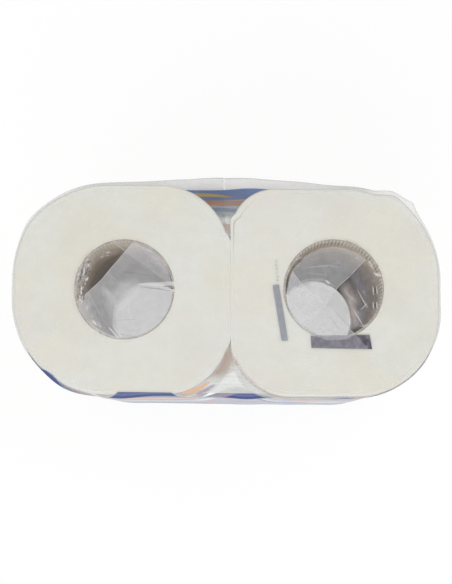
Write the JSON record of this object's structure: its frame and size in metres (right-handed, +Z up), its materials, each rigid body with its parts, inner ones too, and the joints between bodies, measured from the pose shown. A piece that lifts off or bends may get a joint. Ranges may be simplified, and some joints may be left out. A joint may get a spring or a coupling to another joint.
{
  "type": "pack of reusable paper towel rolls",
  "caption": "Upright pack of paper towel rolls, squashed to rounded squares on cardboard cores, in clear printed film folded over at both ends.",
  "frame": {"origin": "under the middle of the pack, on the surface that it stands on", "axes": "+Z up, along the rolls; +X from the left roll to the right one; +Y to the back, where the film's lap seam is"},
  "size_m": [0.2002, 0.1008, 0.2271],
  "materials": {
    "film": "thin clear polyethylene film, slightly milky, printed in blue and orange fields round the sides",
    "paper": "soft matt off-white tissue, embossed, with its turns showing at the cut ends",
    "cardboard": "matt grey-brown spiral-wound board"
  },
  "bodies": {
    "root": {"film_sleeve": "film", "film_top_end": "film", "film_bottom_end": "film", "left_roll": "paper", "right_roll": "paper", "left_core": "cardboard", "right_core": "cardboard"}
  },
  "joints": []
}
